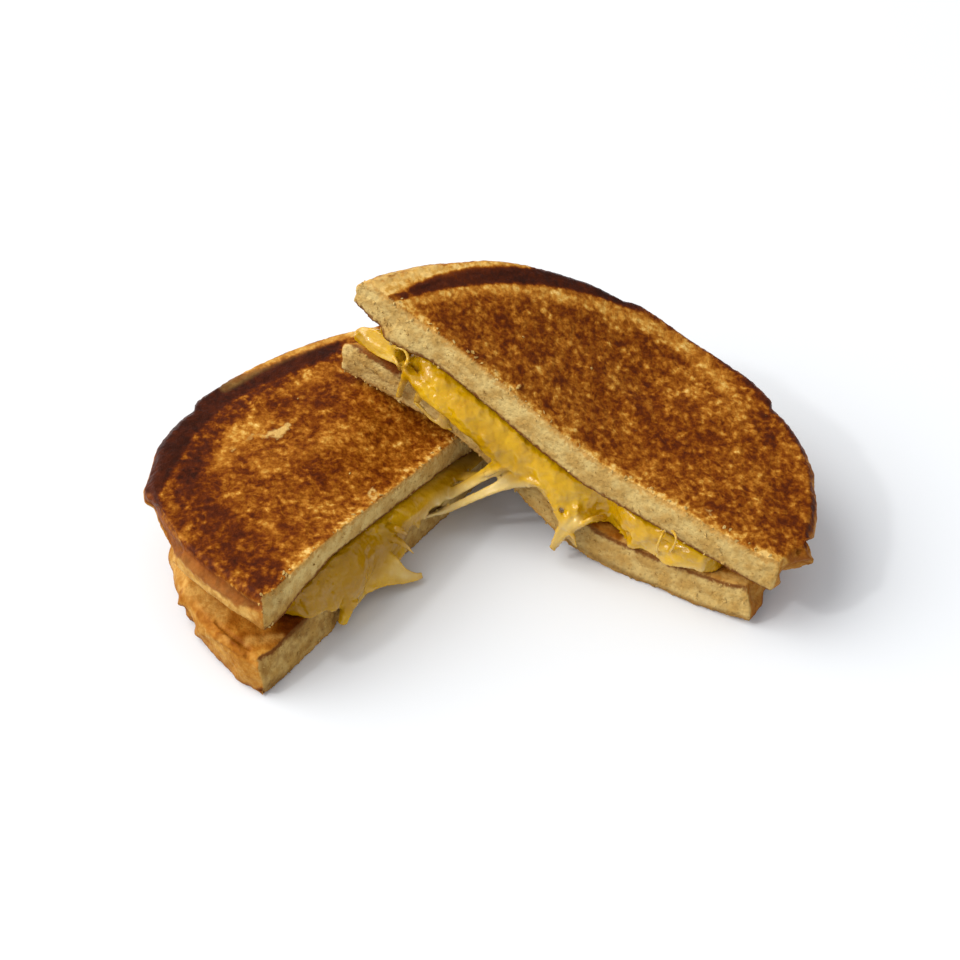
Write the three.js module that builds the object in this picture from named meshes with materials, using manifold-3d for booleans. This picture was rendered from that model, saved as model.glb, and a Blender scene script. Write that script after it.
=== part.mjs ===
// A grilled cheese sandwich cut in two, as it lies after the halves are pulled apart.
//
// The left half lies flat. The right half leans: its base end lies flat too, and its other
// end climbs onto the left half. Each half is two half-slices of toasted bread. One piece of
// melted cheese fills both halves, bulges out of the cuts and still joins them by a web.
//
// Millimetres, +Z up. Each half has its own coordinates: u runs along the knife cut from the
// half's base end to the end where the halves cross, v runs from the cut into the bread, and
// w is the height above the underside of a slice.
import * as THREE from 'three';
import { mergeVertices } from 'three/addons/utils/BufferGeometryUtils.js';
import Module from 'manifold-3d';

// Driving dimensions: the bread.
const CUT_LENGTH = 123;
const LEFT_DEPTH = 58;
const RIGHT_DEPTH = 51;
const BOTTOM_THICKNESS_LEFT = 11.5;
const BOTTOM_THICKNESS_RIGHT = 10.5;
const TOP_THICKNESS = 10;
const CRUST_ROUNDING = 2.6;
const KNIFE_ROUNDING = 0.7;

// Driving dimensions: how the halves lie.
const CUT_HEADING_LEFT = 54;
const CUT_HEADING_RIGHT = 150;
const BASE_DISTANCE = new THREE.Vector2(118.7, 22.3);
const LEFT_GAP_TOP = 20;
const RIGHT_GAP_TOP = 14.8;
const LEFT_TOP_SHIFT = 3;
const RIGHT_TOP_SHIFT = -5;

// Driving dimensions: the cheese.
const CHEESE_INSET = 4.5;
const CLEARANCE = 0.55;
const FRONT_CLEARANCE = 0.35;
const WEB_THICKNESS = 1.3;

// How finely the solids are divided.
const CRUST_STEPS = 46;
const CUT_STEPS = 22;
const INNER_RINGS = [0.22, 0.46, 0.7, 0.88];
const SECTION_STEP = 2.4;
const LAYER_COLUMNS = [0.14, 0.28, 0.42, 0.6];
const STRAND_SIDES = 8;

const { Vector2, Vector3 } = THREE;
const wasm = await Module();
wasm.setup();

const radians = THREE.MathUtils.degToRad;
const smoothstep = (x, from, to) => THREE.MathUtils.smoothstep(x, from, to);
const hump = (x, centre, reach, height) => height * Math.exp(-(((x - centre) / reach) ** 2));

// ---------------------------------------------------------------------------------------
// Closed solids from vertices and triangles

function closedGeometry(vertices, triangles) {
  let volume = 0;
  for (const [a, b, c] of triangles) {
    volume += vertices[a].dot(new Vector3().crossVectors(vertices[b], vertices[c]));
  }
  const outward = volume > 0 ? triangles : triangles.map(([a, b, c]) => [a, c, b]);
  const geometry = new THREE.BufferGeometry();
  geometry.setAttribute('position', new THREE.Float32BufferAttribute(vertices.flatMap((p) => [...p]), 3));
  geometry.setIndex(outward.flat());
  return geometry;
}

// Joins rings of equal length into a tube, and closes each end with a fan round its centre.
function loft(rings) {
  const count = rings[0].length;
  const vertices = rings.flat();
  const triangles = [];
  for (let ring = 0; ring < rings.length - 1; ring += 1) {
    for (let side = 0; side < count; side += 1) {
      const a = ring * count + side;
      const b = ring * count + ((side + 1) % count);
      triangles.push([a, b, b + count]);
      triangles.push([a, b + count, a + count]);
    }
  }
  for (const [ring, first] of [[0, true], [rings.length - 1, false]]) {
    const centre = rings[ring].reduce((sum, p) => sum.add(p), new Vector3()).divideScalar(count);
    const hub = vertices.push(centre) - 1;
    for (let side = 0; side < count; side += 1) {
      const a = ring * count + side;
      const b = ring * count + ((side + 1) % count);
      triangles.push(first ? [hub, b, a] : [hub, a, b]);
    }
  }
  return closedGeometry(vertices, triangles);
}

function manifoldOf(geometry) {
  const bare = new THREE.BufferGeometry();
  bare.setAttribute('position', geometry.getAttribute('position'));
  bare.setIndex(geometry.getIndex());
  const merged = mergeVertices(bare, 1e-4);
  return new wasm.Manifold(new wasm.Mesh({
    numProp: 3,
    vertProperties: new Float32Array(merged.getAttribute('position').array),
    triVerts: new Uint32Array(merged.getIndex().array),
  }));
}

function fuse(geometries) {
  const whole = geometries.map(manifoldOf).reduce((sum, piece) => sum.add(piece));
  const mesh = whole.getMesh();
  const geometry = new THREE.BufferGeometry();
  geometry.setAttribute('position', new THREE.Float32BufferAttribute(mesh.vertProperties, 3));
  geometry.setIndex([...mesh.triVerts]);
  return geometry;
}

// ---------------------------------------------------------------------------------------
// Where the halves lie

// A half's directions on the plan: along its cut, and from the cut into the bread.
function halfFrame(corner, heading, side) {
  const along = new Vector3(Math.cos(radians(heading)), Math.sin(radians(heading)), 0);
  const inward = new Vector3(-along.y, along.x, 0).multiplyScalar(side);
  return { corner, along, inward };
}

const left = halfFrame(new Vector3(0, 0, 0), CUT_HEADING_LEFT, 1);
const right = halfFrame(new Vector3(BASE_DISTANCE.x, BASE_DISTANCE.y, 0), CUT_HEADING_RIGHT, -1);

function onPlan(half, along, inward, height) {
  return half.corner.clone()
    .addScaledVector(half.along, along)
    .addScaledVector(half.inward, inward)
    .setZ(height);
}

// A slice that bends along its cut: its slope starts at startSlope degrees and turns by the
// given degrees over each stretch of u. The curve is walked in short steps.
function bendCurve(startHeight, startSlope, turns) {
  const step = 0.25;
  const first = -16;
  const count = Math.round((CUT_LENGTH + 12 - first) / step);
  const slopeAt = (u) => radians(
    turns.reduce((slope, { from, to, turn }) => slope + turn * smoothstep(u, from, to), startSlope),
  );
  const walk = [{ distance: 0, height: 0 }];
  for (let i = 0; i < count; i += 1) {
    const slope = slopeAt(first + (i + 0.5) * step);
    walk.push({
      distance: walk[i].distance + Math.cos(slope) * step,
      height: walk[i].height + Math.sin(slope) * step,
    });
  }
  const start = walk[Math.round(-first / step)];
  return (u) => {
    const place = THREE.MathUtils.clamp((u - first) / step, 0, count - 1e-6);
    const i = Math.floor(place);
    const mix = (key) => THREE.MathUtils.lerp(walk[i][key], walk[i + 1][key], place - i) - start[key];
    return { distance: mix('distance'), height: mix('height') + startHeight, slope: slopeAt(u) };
  };
}

const bent = (half, curve) => (u, v, w) => {
  const { distance, height, slope } = curve(u);
  return onPlan(half, distance - w * Math.sin(slope), v, height + w * Math.cos(slope));
};

// The right half's slices: the lower one lies flat and then climbs, the upper one climbs more
// evenly, so that the half gapes in the middle.
const rightBottomCurve = bendCurve(1.65, -6, [
  { from: 4, to: 26, turn: 6 },
  { from: 36, to: 56, turn: 33 },
  { from: 84, to: 100, turn: -22 },
]);
const rightTopCurve = bendCurve(RIGHT_GAP_TOP, 12, [
  { from: 40, to: 62, turn: 16 },
  { from: 84, to: 98, turn: -7 },
]);
const placeRightBottom = bent(right, rightBottomCurve);
const placeRightTop = bent(right, rightTopCurve);

// The left half lies flat, and its upper slice is pressed down by the half that leans on it,
// most of all at the cut.
const placeLeftBottom = (u, v, w) => onPlan(left, u, v, w);
const nearCut = (v) => 1 - smoothstep(v, 4, 26);
const leftSag = (u, v) => 1.2 * smoothstep(u, 20, 75) + 5.3 * smoothstep(u, 22, 78) * nearCut(v);
const leftSqueeze = (u, v) => 0.26 * smoothstep(u, 72, 104) * nearCut(v);
function placeLeftTop(u, v, w) {
  return onPlan(left, u, v, LEFT_GAP_TOP - leftSag(u, v) + w * (1 - leftSqueeze(u, v)));
}

// ---------------------------------------------------------------------------------------
// Bread

// A half-slice's outline: the crust through a few points from the base corner to the far
// corner, then back along the cut. Nubs and notches push the crust out or in at a place v
// on the base end, or at a place u further on.
function sliceOutline(crustPoints, shift, nubs) {
  const curve = new THREE.SplineCurve(crustPoints.map(([u, v]) => new Vector2(u, v)));
  const outline = [];
  for (let i = 0; i <= CRUST_STEPS; i += 1) {
    const fraction = i / CRUST_STEPS;
    const point = curve.getPointAt(fraction);
    const tangent = curve.getTangentAt(fraction);
    const push = nubs.reduce((sum, nub) => {
      const away = Math.hypot(point.x - nub.u, point.y - nub.v);
      return sum + hump(away, 0, nub.reach, nub.height);
    }, 0);
    outline.push({ point: point.addScaledVector(new Vector2(-tangent.y, tangent.x), push), crust: true });
  }
  const far = outline[CRUST_STEPS].point;
  const near = outline[0].point;
  for (let i = 1; i < CUT_STEPS; i += 1) {
    outline.push({ point: new Vector2().lerpVectors(far, near, i / CUT_STEPS), crust: false });
  }
  outline.forEach(({ point }) => { point.x += shift; });
  return outline;
}

// The outline moved inwards: by the crust's rounding on the crust, by less on the cut.
function insetOutline(outline, share) {
  const count = outline.length;
  return outline.map(({ point, crust }, i) => {
    const before = outline[(i + count - 1) % count].point;
    const after = outline[(i + 1) % count].point;
    const tangent = new Vector2().subVectors(after, before).normalize();
    const amount = (crust ? CRUST_ROUNDING : KNIFE_ROUNDING) * share;
    return point.clone().addScaledVector(new Vector2(tangent.y, -tangent.x), amount);
  });
}

// Low swells on a toasted face.
const swell = (u, v) => 0.2 * Math.sin(u / 8.5 + 0.6) * Math.sin(v / 7.3 + 1.1)
  + 0.1 * Math.sin(u / 4.1 + v / 5.7);

// A half-slice is a stack of rings: from the middle of its underside out to the rim, round
// the crust, and back to the middle of its upper face.
function sliceGeometry(outline, thickness, place, upperRelief) {
  const rim = [
    { inset: 0.35, height: 0 },
    { inset: 0.05, height: 0.2 },
    { inset: 0, height: 0.55 },
    { inset: 0.3, height: 0.82 },
    { inset: 1, height: 1 },
  ];
  const rimLine = insetOutline(outline, 1);
  const middle = rimLine.reduce((sum, p) => sum.add(p), new Vector2()).divideScalar(rimLine.length);
  const face = (fraction, w) => rimLine.map((p) => {
    const { x, y } = new Vector2().lerpVectors(middle, p, fraction);
    const relief = w > 0 ? upperRelief(x, y) * (1 - fraction ** 6) : 0;
    return place(x, y, w + relief);
  });
  const rings = [
    ...INNER_RINGS.map((fraction) => face(fraction, 0)),
    ...rim.map(({ inset, height }) => insetOutline(outline, inset)
      .map(({ x, y }) => place(x, y, height * thickness))),
    ...[...INNER_RINGS].reverse().map((fraction) => face(fraction, thickness)),
  ];
  return loft(rings);
}

const flat = () => 0;

const leftTopCrust = [
  [0, 0], [0.5, 12], [2.5, 28], [6, 38], [13, 47.5], [26, 55], [42, LEFT_DEPTH],
  [60, 56], [75, 51], [88, 44], [102, 34], [113, 22], [119, 10], [CUT_LENGTH - 3, 0],
];
const leftBottomCrust = [
  [0, 0], [-0.5, 9], [2, 20], [6.5, 29], [13, 37.5], [22, 45.5], [34, 52],
  [48, LEFT_DEPTH - 3], [64, 53], [80, 48], [96, 38.5], [110, 25], [119, 11], [CUT_LENGTH, 0],
];
const rightTopCrust = [
  [1, 0], [-1, 7], [0, 16], [3, 26], [9, 35], [18, 43], [31, 49.5], [46, RIGHT_DEPTH + 1],
  [64, RIGHT_DEPTH + 1], [80, 48.5], [95, 41], [108, 31], [118, 19], [125, 7], [CUT_LENGTH + 3.5, 0],
];
const rightBottomCrust = [
  [0, 0], [-1, 8], [1, 18], [5, 28], [12, 37], [22, 44], [35, 48], [50, RIGHT_DEPTH - 1],
  [66, 49], [82, 44.5], [97, 37], [109, 27], [118, 15], [CUT_LENGTH, 5], [CUT_LENGTH + 1, 0],
];

const leftTopNubs = [
  { u: 20, v: 52, reach: 2.6, height: -1 },
];
const leftBottomNubs = [
  { u: 21, v: 44.5, reach: 2.4, height: 1.6 },
  { u: 7.5, v: 30.5, reach: 2.2, height: 2.4 },
];
const rightTopNubs = [
  { u: 0, v: 12, reach: 2.3, height: 5 },
  { u: 5, v: 29, reach: 2.2, height: -1.2 },
  { u: 22, v: 45.5, reach: 2, height: -1 },
];

// ---------------------------------------------------------------------------------------
// Cheese

// How far the crust of an outline reaches in from the cut at a given u.
function depthAt(crustPoints, u) {
  const curve = new THREE.SplineCurve(crustPoints.map(([x, y]) => new Vector2(x, y)));
  const samples = curve.getPoints(120);
  const near = samples.filter((p) => Math.abs(p.x - u) < 1.2);
  return near.length > 0 ? Math.max(...near.map((p) => p.y)) : 0;
}

// A layer of cheese between two slices, with a lip that bulges out of the cut and hangs over
// the lower slice's cut face. lip(u) gives the recess of the lip behind the cut, its bulge
// past the cut and its drop below the lower slice's upper edge.
function cheeseLayer({ from, to, crustPoints, thickness, placeBottom, placeTop, lip }) {
  const sections = [];
  const count = Math.round((to - from) / SECTION_STEP);
  for (let i = 0; i <= count; i += 1) {
    const u = from + (to - from) * (i / count);
    const { recess, bulge, drop } = lip(u);
    const back = Math.max(recess + 5, depthAt(crustPoints, u) - CHEESE_INSET);
    const between = (v, share) => new Vector3().lerpVectors(
      placeBottom(u, v, thickness + CLEARANCE),
      placeTop(u, v, -CLEARANCE),
      share,
    );
    const hang = 0.3 + drop * Math.max(0, 1 - recess / FRONT_CLEARANCE);
    const hanging = (v, share) => placeBottom(u, v, thickness + CLEARANCE - hang * share);
    const front = recess - FRONT_CLEARANCE;
    const columns = [0, ...LAYER_COLUMNS, 1]
      .map((share) => THREE.MathUtils.lerp(recess + 1.5, back, share));
    sections.push([
      ...[...columns].reverse().map((v) => between(v, 0)),
      between(front, 0),
      hanging(front, 0.85),
      hanging(front - bulge * 0.35, 1),
      hanging(front - bulge * 0.75, 0.7),
      hanging(front - bulge, 0.2),
      between(front - bulge * 0.98, 0.25),
      between(front - bulge * 0.8, 0.55),
      between(front - bulge * 0.45, 0.82),
      between(recess, 0.99),
      ...columns.map((v) => between(v, 1)),
    ]);
  }
  return loft(sections);
}

const leftLip = (u) => ({
  recess: hump(u, 8, 7, 3),
  bulge: 1.6 + hump(u, 33, 7, 1.8) + hump(u, 80, 14, 1.2),
  drop: 0.2 + 10.2 * smoothstep(u, 27.5, 31) * (1 - smoothstep(u, 51, 59)) + hump(u, 67, 9, 4.6),
});

const rightLip = (u) => ({
  recess: hump(u, 44, 6, 5) + 2.5 * smoothstep(u, 98, 104) + hump(u, 5, 6, 3),
  bulge: 0.8 + hump(u, 17, 6, 1.2) + hump(u, 58, 9, 2.8) + hump(u, 84, 14, 4.2),
  drop: 0.4 + hump(u, 58, 6, 2.5) + hump(u, 84, 10, 3.6),
});

// A strand or a drip: a flat tube through a few points, each with its width and thickness.
function strand(stops) {
  const curve = new THREE.CatmullRomCurve3(stops.map(({ at }) => at));
  const count = (stops.length - 1) * 5;
  const up = new Vector3(0, 0, 1);
  const rings = [];
  for (let i = 0; i <= count; i += 1) {
    const fraction = i / count;
    const place = Math.min(fraction * (stops.length - 1), stops.length - 1.0001);
    const stop = Math.floor(place);
    const size = (key) => THREE.MathUtils.lerp(stops[stop][key], stops[stop + 1][key], place - stop) / 2;
    const tangent = curve.getTangent(fraction);
    const sideways = new Vector3().crossVectors(stops[stop].up ?? up, tangent).normalize();
    const normal = new Vector3().crossVectors(tangent, sideways);
    rings.push(Array.from({ length: STRAND_SIDES }, (_, k) => {
      const turn = (k / STRAND_SIDES) * Math.PI * 2;
      return curve.getPoint(fraction)
        .addScaledVector(sideways, Math.cos(turn) * size('width'))
        .addScaledVector(normal, Math.sin(turn) * size('thick'));
    }));
  }
  return loft(rings);
}

const leftOut = (u, out, height) => onPlan(left, u, -out, height);
const rightOut = (along, out, height) => onPlan(right, along, -out, height);

// The web: two flat strands from the right lip down to the left lip, close side by side.
function web() {
  const strands = [
    { rightEnd: [61, 4.5, 23], leftEnd: [70, 2.6, 10], root: 9, waist: 4.5, foot: 6 },
    { rightEnd: [68, 4, 25.5], leftEnd: [77, 2.4, 12.5], root: 8, waist: 4, foot: 6 },
  ];
  const bury = 2.5;
  return strands.map(({ rightEnd, leftEnd, root, waist, foot }) => {
    const start = rightOut(...rightEnd);
    const end = leftOut(...leftEnd);
    const half = new Vector3().lerpVectors(start, end, 0.5);
    half.z -= 0.8;
    return strand([
      { at: start.clone().addScaledVector(right.inward, bury), width: root, thick: 3 },
      { at: start, width: root, thick: WEB_THICKNESS * 1.5 },
      { at: half, width: waist, thick: WEB_THICKNESS },
      { at: end, width: foot, thick: WEB_THICKNESS },
      { at: end.clone().addScaledVector(left.inward, bury / 2), width: foot, thick: WEB_THICKNESS },
    ]);
  });
}

// The drip that hangs from the right lip over the cut face and splits into two points.
function rightDrip() {
  const facing = right.inward.clone();
  const trunk = [
    { at: rightOut(51, 2.2, 20), width: 9, thick: 3, up: facing },
    { at: rightOut(50.5, 2.4, 14.5), width: 6, thick: 2.2, up: facing },
    { at: rightOut(50.5, 2.6, 9), width: 5, thick: 1.8, up: facing },
  ];
  const points = [[54, 3], [47, 5.5]].map(([along, height]) => [
    { at: rightOut(50.5, 2.5, 10.5), width: 4, thick: 1.8, up: facing },
    { at: rightOut(along, 2.8, height), width: 1, thick: 1, up: facing },
  ]);
  return [strand(trunk), ...points.map(strand)];
}

// The tongue that sticks out of the left lip, and the small spikes beside it.
function leftDrips() {
  const facing = left.inward.clone();
  const tongue = [
    { at: leftOut(51, 2, 6), width: 8, thick: 2 },
    { at: leftOut(51, 5, 4.5), width: 7, thick: 1.6 },
    { at: leftOut(53.5, 9, 3.2), width: 2, thick: 1 },
  ];
  const spikes = [[59, 2.8, 3], [62, 2.2, 5]].map(([along, out, height]) => [
    { at: leftOut(along + 1, 1.6, 9.5), width: 3, thick: 1.6, up: facing },
    { at: leftOut(along, out, height), width: 0.9, thick: 0.9, up: facing },
  ]);
  return [strand(tongue), ...spikes.map(strand)];
}

function cheeseGeometry() {
  const leftLayer = cheeseLayer({
    from: 10,
    to: 112,
    crustPoints: leftBottomCrust,
    thickness: BOTTOM_THICKNESS_LEFT,
    placeBottom: placeLeftBottom,
    placeTop: placeLeftTop,
    lip: leftLip,
  });
  const rightLayer = cheeseLayer({
    from: 8,
    to: 117,
    crustPoints: rightBottomCrust,
    thickness: BOTTOM_THICKNESS_RIGHT,
    placeBottom: placeRightBottom,
    placeTop: placeRightTop,
    lip: rightLip,
  });
  return fuse([leftLayer, rightLayer, ...web(), ...rightDrip(), ...leftDrips()]);
}

// ---------------------------------------------------------------------------------------
// The sandwich

const toast = new THREE.MeshStandardMaterial({ color: 0xa8621c, roughness: 0.75 });
const paleToast = new THREE.MeshStandardMaterial({ color: 0xc99a4a, roughness: 0.8 });
const meltedCheese = new THREE.MeshStandardMaterial({ color: 0xe2b02c, roughness: 0.3 });

function piece(name, geometry, material) {
  const mesh = new THREE.Mesh(geometry, material);
  mesh.name = name;
  return mesh;
}

const slices = [
  {
    name: 'left_bottom_bread',
    outline: sliceOutline(leftBottomCrust, 0, leftBottomNubs),
    thickness: BOTTOM_THICKNESS_LEFT,
    place: placeLeftBottom,
    relief: flat,
    material: paleToast,
  },
  {
    name: 'left_top_bread',
    outline: sliceOutline(leftTopCrust, LEFT_TOP_SHIFT, leftTopNubs),
    thickness: TOP_THICKNESS,
    place: placeLeftTop,
    relief: swell,
    material: toast,
  },
  {
    name: 'right_bottom_bread',
    outline: sliceOutline(rightBottomCrust, 0, []),
    thickness: BOTTOM_THICKNESS_RIGHT,
    place: placeRightBottom,
    relief: flat,
    material: paleToast,
  },
  {
    name: 'right_top_bread',
    outline: sliceOutline(rightTopCrust, RIGHT_TOP_SHIFT, rightTopNubs),
    thickness: TOP_THICKNESS,
    place: placeRightTop,
    relief: swell,
    material: toast,
  },
];

const sandwich = new THREE.Group();
for (const { name, outline, thickness, place, relief, material } of slices) {
  sandwich.add(piece(name, sliceGeometry(outline, thickness, place, relief), material));
}
sandwich.add(piece('cheese', cheeseGeometry(), meltedCheese));

// The origin goes to the middle of the sandwich's footprint, on the surface it lies on.
const box = new THREE.Box3().setFromObject(sandwich);
const middle = box.getCenter(new Vector3());
sandwich.position.set(-middle.x, -middle.y, 0);

export default sandwich;
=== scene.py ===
# %% [markdown]
# # A grilled cheese sandwich, cut in two and pulled apart
# Two halves of one toasted sandwich lie across each other: the right half leans its cut end on
# the left one, and molten cheese still runs from lip to lip. The solids give the place and the
# main shapes. This script dresses them: pan-toasted faces, a burnt ring inside the crust, torn
# pale crumb on the cut, and glossy cheese with drips, holes and pulled strings.

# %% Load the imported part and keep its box
import math
import random

import bmesh
import bpy
import numpy as np
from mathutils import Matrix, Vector, geometry, kdtree
from mathutils.bvhtree import BVHTree


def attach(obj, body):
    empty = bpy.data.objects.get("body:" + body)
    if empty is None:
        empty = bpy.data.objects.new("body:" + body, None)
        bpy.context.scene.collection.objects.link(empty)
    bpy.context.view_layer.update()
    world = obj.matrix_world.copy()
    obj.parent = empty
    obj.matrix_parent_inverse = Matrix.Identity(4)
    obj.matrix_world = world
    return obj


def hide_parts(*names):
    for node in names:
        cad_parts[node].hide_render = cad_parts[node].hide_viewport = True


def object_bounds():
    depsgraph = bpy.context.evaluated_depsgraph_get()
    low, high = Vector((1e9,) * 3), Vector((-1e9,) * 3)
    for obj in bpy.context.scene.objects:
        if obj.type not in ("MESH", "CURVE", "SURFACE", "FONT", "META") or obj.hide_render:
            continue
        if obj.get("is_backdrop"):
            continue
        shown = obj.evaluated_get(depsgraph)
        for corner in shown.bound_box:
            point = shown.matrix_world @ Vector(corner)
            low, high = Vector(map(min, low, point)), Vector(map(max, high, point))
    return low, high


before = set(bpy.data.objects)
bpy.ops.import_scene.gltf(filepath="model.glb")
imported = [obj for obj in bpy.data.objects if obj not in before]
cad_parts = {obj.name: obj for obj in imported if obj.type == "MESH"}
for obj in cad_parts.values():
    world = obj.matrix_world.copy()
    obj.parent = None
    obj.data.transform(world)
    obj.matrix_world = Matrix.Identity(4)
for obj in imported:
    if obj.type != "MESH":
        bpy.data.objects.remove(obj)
MM = 0.001
cad_box = [list(corner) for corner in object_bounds()]
print("nodes:", sorted(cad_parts))

# %% [markdown]
# ## The camera
# The plate is seen from in front and above, at 45 degrees, with a long lens, so the halves keep
# their proportions. A ray through any place of the square view can be worked out from four
# numbers, and later cells use that to drop a scorch mark or a crumb on whatever lies there.

# %% Set the camera
VIEW_SIDE = 960
FOCAL_PIXELS = 2480.0
SENSOR = 36.0
TILT = math.radians(45)
STANDOFF = 620 * MM
AIM = Vector((-0.4655, 2.055, 18.0)) * MM
FORWARD = Vector((0, math.cos(TILT), -math.sin(TILT)))
UPWARD = Vector((0, math.sin(TILT), math.cos(TILT)))
EYE = AIM - FORWARD * STANDOFF


def object_from(name, data):
    """A new object of the data, linked to the scene."""
    made = bpy.data.objects.new(name, data)
    bpy.context.scene.collection.objects.link(made)
    return made


camera = object_from("camera", bpy.data.cameras.new("camera"))
camera.data.sensor_width = SENSOR
camera.data.lens = SENSOR * FOCAL_PIXELS / VIEW_SIDE
camera.data.clip_start = 0.01
camera.data.clip_end = 20
camera.location = EYE
camera.rotation_euler = (math.pi / 2 - TILT, 0, 0)
bpy.context.scene.camera = camera
print("lens", round(camera.data.lens, 2), "mm")


def ray_through(x, y):
    """The direction from the eye through a place of the square view."""
    half = VIEW_SIDE / 2
    return (FORWARD * FOCAL_PIXELS + Vector((x - half, 0, 0)) - UPWARD * (y - half)).normalized()


# %% [markdown]
# ## Light
# A soft lamp at the left and in front lights the right half's cut face and leaves the left
# half's cut face in its own shade. A pale world fills the shadows, and colours are shown without
# a film curve, so a white floor stays white.

# %% Light the table
def area_light(name, toward, distance, size, watts, colour):
    data = bpy.data.lights.new(name, "AREA")
    data.shape = "DISK"
    data.size = size
    data.energy = watts
    data.color = colour
    lamp = object_from(name, data)
    toward = Vector(toward).normalized()
    lamp.location = AIM + toward * distance
    lamp.rotation_euler = (-toward).to_track_quat("-Z", "Y").to_euler()


area_light("window", (-0.78, 0.06, 0.82), 2.3, 2.7, 68.0, (1.0, 0.99, 0.97))
area_light("glint", (-0.64, -0.28, 0.70), 2.0, 0.16, 6.5, (1.0, 1.0, 1.0))

world = bpy.data.worlds.new("pale_room")
bpy.context.scene.world = world
world.use_nodes = True
sky = world.node_tree.nodes["Background"].inputs
sky["Color"].default_value = (0.975, 0.99, 1.025, 1.0)
sky["Strength"].default_value = 0.70
bpy.context.scene.view_settings.view_transform = "Standard"

# %% [markdown]
# ## A short way to write node maths
# A shader or a geometry tree is easier to read as sums than as dozens of wired boxes. `Wire`
# holds one output socket, and arithmetic on it adds a Math node. `Bench.node` makes any other
# node: its settings first, then what goes into its sockets.

# %% Wires and a bench to lay them on
def arithmetic(operation):
    """Two methods that add a Math node, with the wire on its left and on its right."""
    def wire_first(self, other):
        return self.math(operation, self, other)

    def wire_second(self, other):
        return self.math(operation, other, self)

    return wire_first, wire_second


class Wire:
    """One output socket. Arithmetic on it adds Math nodes to its tree."""

    __add__, __radd__ = arithmetic("ADD")
    __sub__, __rsub__ = arithmetic("SUBTRACT")
    __mul__, __rmul__ = arithmetic("MULTIPLY")
    __truediv__, __rtruediv__ = arithmetic("DIVIDE")

    def __init__(self, bench, socket):
        self.bench = bench
        self.socket = socket

    def math(self, operation, *values):
        return self.bench.node("ShaderNodeMath", {"operation": operation}, dict(enumerate(values)))

    def over(self, other):
        return self.math("MAXIMUM", self, other)

    def held(self):
        """The value kept between 0 and 1."""
        return self.bench.node("ShaderNodeClamp", {}, {"Value": self})

    def rise(self, low, high):
        """0 below low, 1 above high, and a smooth step between them."""
        inputs = {"Value": self, "From Min": low, "From Max": high}
        return self.bench.node("ShaderNodeMapRange", {"interpolation_type": "SMOOTHSTEP"}, inputs)


class Bench:
    """A node tree, and the one way this script adds nodes to it."""

    def __init__(self, tree):
        self.tree = tree

    def node(self, kind, settings=None, inputs=None, out=0):
        made = self.tree.nodes.new(kind)
        for key, value in (settings or {}).items():
            setattr(made, key, value)
        for key, value in (inputs or {}).items():
            self.plug(made.inputs[key], value)
        return Wire(self, made.outputs[out]) if len(made.outputs) else made

    def plug(self, socket, value):
        if isinstance(value, Wire):
            self.tree.links.new(value.socket, socket)
        else:
            socket.default_value = value

    def mark(self, name):
        """A number stored on the vertices."""
        return self.node("ShaderNodeAttribute", {"attribute_name": name}, {}, "Fac")

    def blend(self, share, first, second):
        inputs = {0: share, 6: first, 7: second}
        return self.node("ShaderNodeMix", {"data_type": "RGBA"}, inputs, 2)

    def glazed(self, tone, *layers):
        """A tone under layers, each of a share and a colour."""
        for share, colour in layers:
            tone = self.blend(share, tone, colour)
        return tone

    def ramp(self, value, stops):
        mapped = self.node("ShaderNodeValToRGB", {}, {"Fac": value})
        elements = mapped.socket.node.color_ramp.elements
        while len(elements) < len(stops):
            elements.new(0.5)
        for element, (place, colour) in zip(elements, stops):
            element.position = place
            element.color = colour
        return mapped

    def noise(self, place, size_mm, detail=2.0, rough=0.5, twist=0.0):
        inputs = {"Vector": place, "Scale": 1000.0 / size_mm, "Detail": detail}
        inputs["Roughness"] = rough
        inputs["Distortion"] = twist
        return self.node("ShaderNodeTexNoise", {}, inputs)

    def cells(self, place, size_mm, smooth=None):
        inputs = {"Vector": place, "Scale": 1000.0 / size_mm}
        if smooth is None:
            return self.node("ShaderNodeTexVoronoi", {}, inputs)
        inputs["Smoothness"] = smooth
        return self.node("ShaderNodeTexVoronoi", {"feature": "SMOOTH_F1"}, inputs)


def paint(red, green, blue):
    """A screen colour of 0 to 255 as the linear colour that a shader takes."""
    parts = [value / 255 for value in (red, green, blue)]
    linear = [p / 12.92 if p <= 0.04045 else ((p + 0.055) / 1.055) ** 2.4 for p in parts]
    return (*linear, 1.0)


print("bench ready")

# %% [markdown]
# ## The table
# A wide white board. It is no part of the sandwich, so it is marked as stage.

# %% Make the table
def material_with_bench(name):
    material = bpy.data.materials.new(name)
    material.use_nodes = True
    material.node_tree.nodes.clear()
    return material, Bench(material.node_tree)


def object_of(name, points, edges, faces):
    """A new object of a mesh given by its points, edges and faces."""
    mesh = bpy.data.meshes.new(name)
    mesh.from_pydata(points, edges, faces)
    return object_from(name, mesh)


def finish_shader(bench, inputs):
    """Ends a material in one Principled BSDF."""
    surface = bench.node("ShaderNodeBsdfPrincipled", {}, inputs)
    bench.node("ShaderNodeOutputMaterial", {}, {"Surface": surface})


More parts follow.
